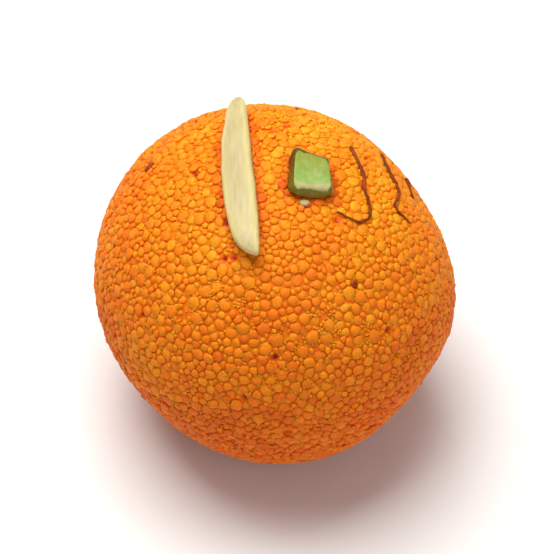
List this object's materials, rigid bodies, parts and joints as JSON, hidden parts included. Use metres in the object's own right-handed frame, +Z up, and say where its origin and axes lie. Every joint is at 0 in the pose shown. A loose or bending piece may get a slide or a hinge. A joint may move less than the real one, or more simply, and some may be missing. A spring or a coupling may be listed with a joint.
{
  "type": "boondi ladoo",
  "caption": "Round sweet of fine orange boondi rolled into a ball, with an almond sliver, a piece of pistachio and saffron strands on its top.",
  "frame": {"origin": "middle of the flat spot that the ladoo rests on", "axes": "+Z up through the toppings, -Y towards the front, the almond sliver lying along Y on the left of the top"},
  "size_m": [0.0418, 0.0421, 0.0413],
  "materials": {
    "boondi": "grainy fried chickpea-flour beads with a thin satin film of ghee and sugar syrup",
    "almond": "blanched almond, cut face, smooth and matt with a faint lengthwise grain",
    "pistachio": "peeled green pistachio, chopped, satin",
    "saffron": "dry saffron strands, dark red, matt"
  },
  "bodies": {
    "root": {"boondi_ball": "boondi", "almond_sliver": "almond", "pistachio_piece": "pistachio"}
  },
  "joints": []
}
